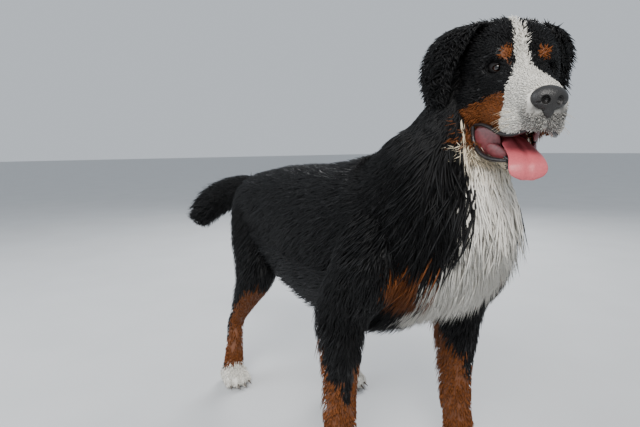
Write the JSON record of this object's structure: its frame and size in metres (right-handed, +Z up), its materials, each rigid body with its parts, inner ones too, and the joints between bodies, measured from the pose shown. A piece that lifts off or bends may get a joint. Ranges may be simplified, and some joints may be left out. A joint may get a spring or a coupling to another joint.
{
  "type": "bernese mountain dog model",
  "caption": "Life-size still model of a standing Bernese mountain dog with a long tricolour coat, head turned and tongue out.",
  "frame": {"origin": "on the floor, under the middle of the dog's box", "axes": "+X from tail to chest, the way the body faces; +Y to the dog's left; +Z up"},
  "size_m": [1.1652, 0.373, 0.8868],
  "materials": {
    "coat": "long glossy fur in black, rust and white",
    "nose_leather": "damp pebbled leather",
    "tongue": "wet flesh",
    "eye": "polished dark brown"
  },
  "bodies": {
    "root": {"head": "coat", "lower_jaw": "coat", "nose": "nose_leather", "tongue": "tongue", "eye_left": "eye", "eye_right": "eye", "ear_left": "coat", "ear_right": "coat", "neck": "coat", "torso": "coat", "tail": "coat", "upper_arm_left": "coat", "upper_arm_right": "coat", "forearm_left": "coat", "forearm_right": "coat", "forepaw_left": "coat", "forepaw_right": "coat", "thigh_left": "coat", "thigh_right": "coat", "shank_left": "coat", "shank_right": "coat", "hindpaw_left": "coat", "hindpaw_right": "coat"}
  },
  "joints": []
}
